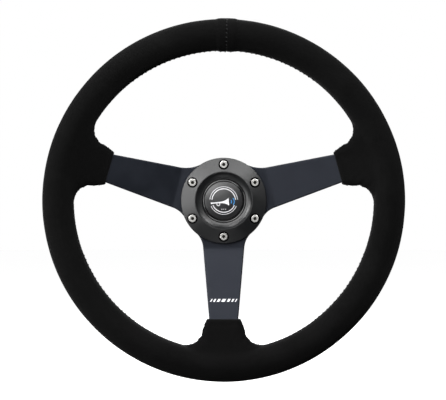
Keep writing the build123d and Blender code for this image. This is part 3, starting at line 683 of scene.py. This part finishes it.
def shapeSkin(points):
    # moves the skin along its normals: each seam is a bell curve of the distance from it, the puckers are a
    # cosine along the edge between two bells, the top seam's swelling and the hem's fold are S curves, the
    # wrinkles are sines within a bell where the boot narrows, and the lumps are sums of sines
    g, b, w = grip, boot, wrinkle
    normal = gridNormals(points)
    centre = np.array([0, -wheel["rimDepth"], 0])
    ringCentre = unit(points * [1, 0, 1]) * wheel["rimRadius"] + centre
    normal = normal * np.sign((normal * (points - ringCentre)).sum(-1).mean())
    x, y, z = points[..., 0], points[..., 1], points[..., 2]
    along, across = spokeFrame(x, z)
    fromEdge = np.linalg.norm(points - points[:, :1], axis=-1)
    onHem = np.clip((b["hem"] + g["seamStop"] - along[:, :1]) / g["seamFade"], 0, 1)
    valley = -g["valley"] * np.exp(-(fromEdge / g["valleyHalf"]) ** 2)
    beat = np.cos(edgeAt * 2 * pi / g["pitch"])[:, None]
    bells = np.exp(-(fromEdge / g["puckerOuter"]) ** 2) - np.exp(-(fromEdge / g["puckerInner"]) ** 2)
    pucker = g["pucker"] * beat * bells
    arc = ((turn - seamTurn + pi) % (2 * pi) - pi)[:, None] * wheel["rimRadius"]
    bulge = 1 / (1 + np.exp((np.abs(arc) - g["swellHalf"]) / g["swellEdge"] * g["swellSteep"]))
    seam = g["swell"] * bulge - g["notch"] * np.exp(-(arc / g["notchHalf"]) ** 2)
    fromHem = along - b["hem"]
    foldEnd = 1 / (1 + np.exp((fromHem - b["foldWidth"]) / b["foldSoft"]))
    fold = b["foldRise"] * foldEnd * np.clip(fromHem / b["foldStart"], 0, 1)
    neck = np.exp(-((along - w["along"]) / w["alongHalf"]) ** 2)
    neck = neck * np.exp(-((across - w["across"]) / w["acrossHalf"]) ** 2)
    strain = np.sin(w["wave"] * (along * w["lean"][0] + across * w["lean"][1])) * neck * w["height"]
    lumps = sum(softNoise(x, y, z, seed, scale) * height for seed, scale, height in g["lumps"])
    move = (valley + pucker) * (1 - onHem) + seam + fold * (across < b["foldHalf"]) + strain + lumps
    return points + normal * move[..., None]


shapedSkin = shapeSkin(skin)
rimGrip = makePiece("rimGrip", shapedSkin.reshape(-1, 3) * mm, gridFaces(*shapedSkin.shape[:2], True, True),
                    suedeSkin)
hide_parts("suede_cover", "rim_foam")
print("grip sewn:", len(rimGrip.data.polygons), "faces")

# stitches along the sewn edge and across the top seam

stitch = {
    "pitch": 5.0, "length": 4.4, "radius": 0.42, "slant": 0.55, "stand": 0.0, "dive": 0.6, "stations": 9,
    "around": 7, "twist": 14.0, "hemGap": 2.5, "aside": 40.0, "seat": 0.3,
}
topStitch = {
    "count": 23, "length": 3.6, "radius": 0.34, "stand": -0.1, "dive": 0.4, "span": 0.94, "lean": 0.25,
    "seat": 0.8,
}


def stitches(name, middles, across, outward, size):
    # each stitch is a bar bowed over the seam: place = middle + across * u * half length
    # + outward * (stand - dive * u squared), its radius falling to nil at both ends
    u = np.linspace(-1, 1, stitch["stations"])
    centres = (middles[:, None] + across[:, None] * (u[:, None] * size["length"] / 2)
               + outward[:, None] * (size["stand"] - size["dive"] * u[:, None] ** 2))
    thickness = size["radius"] * np.sqrt(np.clip(1 - np.abs(u) ** 5, 0, 1))
    sideways = unit(np.cross(across, outward))[:, None].repeat(len(u), 1)
    upward = outward[:, None].repeat(len(u), 1)
    points, faces = tubes(centres, sideways, upward, np.tile(thickness, (len(middles), 1)), stitch["around"])
    angle = np.arange(stitch["around"]) * 2 * pi / stitch["around"]
    twist = np.tile((u[:, None] * stitch["twist"] + angle[None] * 2).ravel(), len(middles))
    return makePiece(name, points * mm, faces, sewingThread, values={"twist": twist})


def edgeStitches():
    # stitches at equal steps of the sewn edge, left out along the hems
    count = int(edgeLength[-1] / stitch["pitch"])
    at = (np.arange(count) + 0.5) * edgeLength[-1] / count
    angle = np.interp(at, edgeLength, fineTurn)
    radius = np.interp(at, edgeLength, fineRadius)
    along, across = spokeFrame(radius * np.cos(angle), radius * np.sin(angle))
    keep = (along > boot["hem"] + stitch["hemGap"]) | (across > stitch["aside"])
    column = np.interp(angle, turn, np.arange(len(turn)))
    near = np.round(column).astype(int) % len(turn)
    seat = shapedSkin[near, 0]
    ahead, behind = shapedSkin[(near + 1) % len(turn), 0], shapedSkin[near - 1, 0]
    run = unit((ahead - behind) * [1, 0, 1])
    outward = unit(np.cross(run, [0, 1, 0]))
    outward *= np.sign((outward * -seat).sum(-1, keepdims=True))
    lie = unit(np.array([0, 1.0, 0]) + run * stitch["slant"])
    base = seat + outward * grip["valley"] * stitch["seat"]
    return stitches("edgeStitches", base[keep], lie[keep], outward[keep], stitch)


def seamStitches():
    # stitches round the grip's section, laid across the notch of the top seam
    size = topStitch
    backward = np.array([0, 1.0, 0])
    sweep = (np.arange(size["count"]) + 0.5) / size["count"] * 2 * pi * size["span"] - size["span"] * pi
    outX, outY = wheel["halfWidth"] * np.cos(sweep), wheel["halfThickness"] * np.sin(sweep)
    radial = np.array([cos(seamTurn), 0, sin(seamTurn)])
    middles = radial * (wheel["rimRadius"] + outX)[:, None] - backward * (wheel["rimDepth"] + outY)[:, None]
    outward = unit(radial * np.cos(sweep)[:, None] - backward * np.sin(sweep)[:, None])
    lie = np.tile(np.array([-sin(seamTurn), 0, cos(seamTurn)]), (size["count"], 1))
    lie = unit(lie + size["lean"] * np.cross(lie, outward))
    base = middles + outward * grip["swell"] * size["seat"]
    return stitches("topSeamStitches", base, lie, outward, size)


rimThread = edgeStitches()
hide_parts("rim_stitching")
topThread = seamStitches()
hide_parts("top_seam_stitching")
print("stitches laid")

# springs; the anchor is in metres, the rest in millimetres

springs = {
    "collarCoil": {
        "node": "collar_spring", "radius": 24.5, "wire": 1.2, "turns": 4.0, "around": 12,
        "joint": "collar_slide", "travel": 8.0, "anchor": -0.040,
    },
    "hornCoil": {
        "node": "horn_spring", "radius": 9.0, "wire": 1.2, "turns": 3.0, "around": 10,
        "joint": "horn_press", "travel": 1.5, "anchor": -0.049,
    },
    "contactCoil": {
        "node": "contact_spring", "radius": 2.2, "wire": 0.4, "turns": 3.5, "around": 8,
        "joint": "contact_plunge", "travel": 2.0, "anchor": -0.0445,
    },
}
stationsPerTurn = 40
endCrowd = 0.225


def coil(name, look):
    # a compression spring: a circle against the angle, its depth rising as the share of the wire less a sine,
    # so that the turns lie closer at both ends
    low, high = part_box(look["node"])
    start, end = low.y / mm + look["wire"] / 2, high.y / mm - look["wire"] / 2
    stations = int(look["turns"] * stationsPerTurn)
    u = np.linspace(0, 1, stations)
    depth = start + (end - start) * (u - endCrowd * np.sin(2 * pi * u) / (2 * pi))
    angle = u * look["turns"] * 2 * pi
    centre = np.stack([look["radius"] * np.cos(angle), depth, look["radius"] * np.sin(angle)], -1)
    outward = unit(centre * [1, 0, 1])
    run = unit(np.gradient(centre, axis=0))
    upward = unit(np.cross(run, outward))
    thickness = np.full(stations, look["wire"] / 2)
    thickness[[0, -1]] = 0.0
    centre[0], centre[-1] = centre[1], centre[-2]
    points, faces = tubes(centre[None], outward[None], upward[None], thickness[None], look["around"])
    piece = makePiece(name, points * mm, faces, looks["springSteel"])
    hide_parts(look["node"])
    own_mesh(piece)


for springName, springLook in springs.items():
    coil(springName, springLook)
print("springs wound")

# printed marks: thin patches laid on the cap's dome and on the lower spoke

emblem = {
    "edge": 59.1, "dome": 1.5, "radius": 18.3, "skin": 0.03, "inner": (11.0, 11.75), "outer": (13.15, 13.6),
    "upper": (4.0, 176.0), "lower": (204.0, 336.0), "loop": (1.15, 1.75), "loopAt": (-5.2, -3.6),
    "dotRadius": 0.45, "dotsAt": ((-1.8, -8.4), (0.0, -8.4), (1.8, -8.4)),
    "waves": ((2.0, 2.85), (4.6, 5.45)), "waveSpan": (-40.0, 40.0), "wavesAt": (5.2, -1.1),
}
hornShape = {
    "left": -12.6, "length": 17.5, "tube": 0.55, "bell": 3.3, "mouthpiece": 0.35, "lift": -1.6, "tilt": 5.0,
}
spokeMark = {
    "height": -96.6, "width": 26.6, "tall": 2.8, "slant": 0.8, "skin": 0.02,
    "bars": (1.0, 1.6, 2.4, 3.3, 2.4, 1.6, 1.0),
}


def capDepth(x, z):
    # the cap's dome: its edge depth plus the rise of a circular arc, nil at the edge
    e = emblem
    ball = (e["radius"] ** 2 + e["dome"] ** 2) / (2 * e["dome"])
    return e["edge"] + np.sqrt(ball**2 - x**2 - z**2) - (ball - e["dome"]) + e["skin"]


def flatPatch(x, z, depthAt):
    # a grid of plan points laid on a surface, whose depth is a function of the plan point
    points = np.stack([x, -depthAt(x, z), z], -1)
    return points.reshape(-1, 3), gridFaces(*x.shape, False, False)


def arcPatch(inner, outer, start, end, centre=(0.0, 0.0), steps=96):
    # a ring's stretch: radius from inner to outer against angle from start to end
    turns, bands = np.radians(np.linspace(start, end, steps)), np.linspace(inner, outer, 4)
    angle, radius = np.meshgrid(turns, bands, indexing="ij")
    return centre[0] + radius * np.cos(angle), centre[1] + radius * np.sin(angle)


def hornPatch():
    # a horn from the side: half height = tube + bell * share to the fifth + a bell curve at the mouthpiece,
    # along a line tilted up
    h = hornShape
    u, v = np.meshgrid(np.linspace(0, 1, 60), np.linspace(-1, 1, 9), indexing="ij")
    half = h["tube"] + h["bell"] * u**5 + h["mouthpiece"] * np.exp(-(u / 0.05) ** 2)
    x, z = h["left"] + u * h["length"], h["lift"] + v * half
    tilt = radians(h["tilt"])
    return x * cos(tilt) - z * sin(tilt), x * sin(tilt) + z * cos(tilt)


def joinPatches(name, patches, depthAt, look, body):
    # one mesh of several patches, with its normals towards the driver
    parts = [flatPatch(x, z, depthAt) for x, z in patches]
    offsets = np.cumsum([0] + [len(p) for p, _ in parts[:-1]])
    points = np.concatenate([p for p, _ in parts])
    faces = np.concatenate([f + o for (_, f), o in zip(parts, offsets)])
    piece = makePiece(name, points * mm, faces, looks[look], body)
    if sum(p.normal.y * p.area for p in piece.data.polygons) > 0:
        piece.data.flip_normals()


def emblemPatches():
    # two broken rings, the horn with its loop, and three dots below
    e = emblem
    bands, spans = (e["inner"], e["outer"]), (e["upper"], e["lower"])
    patches = [arcPatch(*band, *span) for band in bands for span in spans]
    patches += [hornPatch(), arcPatch(*e["loop"], 0, 360, e["loopAt"], 48)]
    patches += [arcPatch(0.0, e["dotRadius"], 0, 360, at, 24) for at in e["dotsAt"]]
    return patches


def wavePatches():
    # arcs of sound before the horn's mouth
    return [arcPatch(*wave, *emblem["waveSpan"], emblem["wavesAt"], 32) for wave in emblem["waves"]]


joinPatches("hornEmblem", emblemPatches(), capDepth, "whiteInk", "horn_button")
joinPatches("hornSoundArcs", wavePatches(), capDepth, "blueInk", "horn_button")


def spokeDepth(x, z):
    # front face of the lower spoke: its middle surface plus half its thickness square to the slope
    tilt = np.arctan(wheel["slope"])
    middle = wheel["plateMiddle"] + wheel["slope"] * (-z - wheel["bend"])
    return middle + wheel["halfPlate"] / np.cos(tilt) + spokeMark["skin"]


def barPatches():
    # slanted bars of growing and shrinking width: x = start + share * width + slant * height share
    s = spokeMark
    gap = (s["width"] - s["slant"] * 2 - sum(s["bars"])) / (len(s["bars"]) - 1)
    start = -s["width"] / 2 + s["slant"]
    patches = []
    for width in s["bars"]:
        u, v = np.meshgrid(np.linspace(0, 1, 5), np.linspace(-1, 1, 5), indexing="ij")
        patches.append((start + u * width + v * s["slant"], s["height"] + v * s["tall"] / 2))
        start += width + gap
    return patches


joinPatches("spokeBars", barPatches(), spokeDepth, "whiteInk", "wheel")
print("marks printed")

# studio, in metres and watts

studio = {
    "floor": -0.265, "hole": 0.001, "flat": 3.0, "radius": 9.0, "sides": 96, "floorGlow": 0.97,
    "floorTone": 0.5, "wallGlow": 1.0, "wallTone": 0.0, "fill": 0.025, "fillColour": (0.95, 0.97, 1.0),
    "aim": (0.0, -0.06, 0.0),
}
eye = {"lens": 167.4, "sensor": 36.0, "place": (-0.0007, -2.07, 0.0005), "turn": (pi / 2, 0.0, 0.0)}
lamps = {  # each by its turn from +X, its lean from the wheel's axis, its distance, size and power
    "archRight": {"turn": 59, "lean": 40, "away": 2.0, "size": (0.7, 0.8), "power": 11.5},
    "archTop": {"turn": 97, "lean": 38, "away": 2.0, "size": (0.9, 0.9), "power": 11.0},
    "archLeft": {"turn": 140, "lean": 36, "away": 2.0, "size": (0.9, 0.9), "power": 16.5},
    "archSide": {"turn": 184, "lean": 40, "away": 2.0, "size": (0.7, 0.8), "power": 10.0},
    "capCard": {"turn": 122, "lean": 17, "away": 2.3, "size": (0.5, 0.5), "power": 3.6},
    "sideLeft": {"turn": 158, "lean": 76, "away": 2.1, "size": (0.9, 0.9), "power": 42.0},
    "sideTop": {"turn": 112, "lean": 76, "away": 2.1, "size": (0.9, 0.9), "power": 18.0},
    "sideRight": {"turn": 50, "lean": 76, "away": 2.1, "size": (0.9, 0.9), "power": 26.0},
    "under": {"turn": 270, "lean": 56, "away": 2.1, "size": (1.0, 0.6), "power": 2.6},
    "frontCard": {"turn": 110, "lean": 4, "away": 2.7, "size": (0.8, 0.8), "power": 1.2},
    "backTop": {"turn": 75, "lean": 150, "away": 2.6, "size": (1.4, 1.2), "power": 50.0},
    "backSide": {"turn": 200, "lean": 150, "away": 2.6, "size": (1.0, 1.4), "power": 28.0},
}


def stageMaterial(name, glow, tone):
    return newMaterial(name, Base_Color=(tone, tone, tone, 1.0), Roughness=0.9, Specular_IOR_Level=0.1,
                       Emission_Color=(1.0, 1.0, 1.0, 1.0), Emission_Strength=glow)[0]


def roundStage(name, profile, material):
    # a profile of radius and height turned about the upright axis
    sides = studio["sides"]
    angle = np.arange(sides) * 2 * pi / sides
    reach, height = profile[:, :1], profile[:, 1:].repeat(sides, 1)
    points = np.stack([reach * np.cos(angle), reach * np.sin(angle), height], -1).reshape(-1, 3)
    mesh = bpy.data.meshes.new(name)
    mesh.from_pydata(points.tolist(), [], gridFaces(len(profile), sides, False, True).tolist())
    mesh.materials.append(material)
    mesh.polygons.foreach_set("use_smooth", np.ones(len(mesh.polygons), bool))
    stageObject = bpy.data.objects.new(name, mesh)
    scene.collection.objects.link(stageObject)
    for flag in ("visible_diffuse", "visible_glossy", "visible_transmission", "visible_shadow"):
        setattr(stageObject, flag, False)


def addLamp(name, lamp):
    # a rectangular lamp on a line from the aim, facing back along it
    data = bpy.data.lights.new(name, "AREA")
    data.shape = "RECTANGLE"
    data.size, data.size_y = lamp["size"]
    data.energy = lamp["power"]
    light = bpy.data.objects.new(name, data)
    around, lean = radians(lamp["turn"]), radians(lamp["lean"])
    outward = Vector((sin(lean) * cos(around), -cos(lean), sin(lean) * sin(around)))
    light.location = Vector(studio["aim"]) + outward * lamp["away"]
    light.rotation_euler = (-outward).to_track_quat("-Z", "Y").to_euler()
    scene.collection.objects.link(light)


floorReach = (studio["hole"], studio["flat"], studio["radius"])
floorProfile = np.array([(reach, studio["floor"]) for reach in floorReach])
climb = np.linspace(0, pi / 2, 24)
domeReach = studio["radius"] * np.cos(climb) + studio["hole"]
domeHeight = studio["floor"] + studio["radius"] * np.sin(climb)
roundStage("studioFloor", floorProfile, stageMaterial("paleFloor", studio["floorGlow"], studio["floorTone"]))
roundStage("studioWall", np.stack([domeReach, domeHeight], -1),
           stageMaterial("paleWall", studio["wallGlow"], studio["wallTone"]))
for lampName, lampLook in lamps.items():
    addLamp(lampName, lampLook)

world = bpy.data.worlds.new("studio")
world.use_nodes = True
background = world.node_tree.nodes["Background"].inputs
background["Color"].default_value = (*studio["fillColour"], 1.0)
background["Strength"].default_value = studio["fill"]
scene.world = world
scene.view_settings.view_transform = "Standard"

lens = bpy.data.cameras.new("camera")
lens.lens, lens.sensor_width = eye["lens"], eye["sensor"]
camera = bpy.data.objects.new("camera", lens)
camera.location = eye["place"]
camera.rotation_euler = eye["turn"]
scene.collection.objects.link(camera)
scene.camera = camera
print("studio lit")
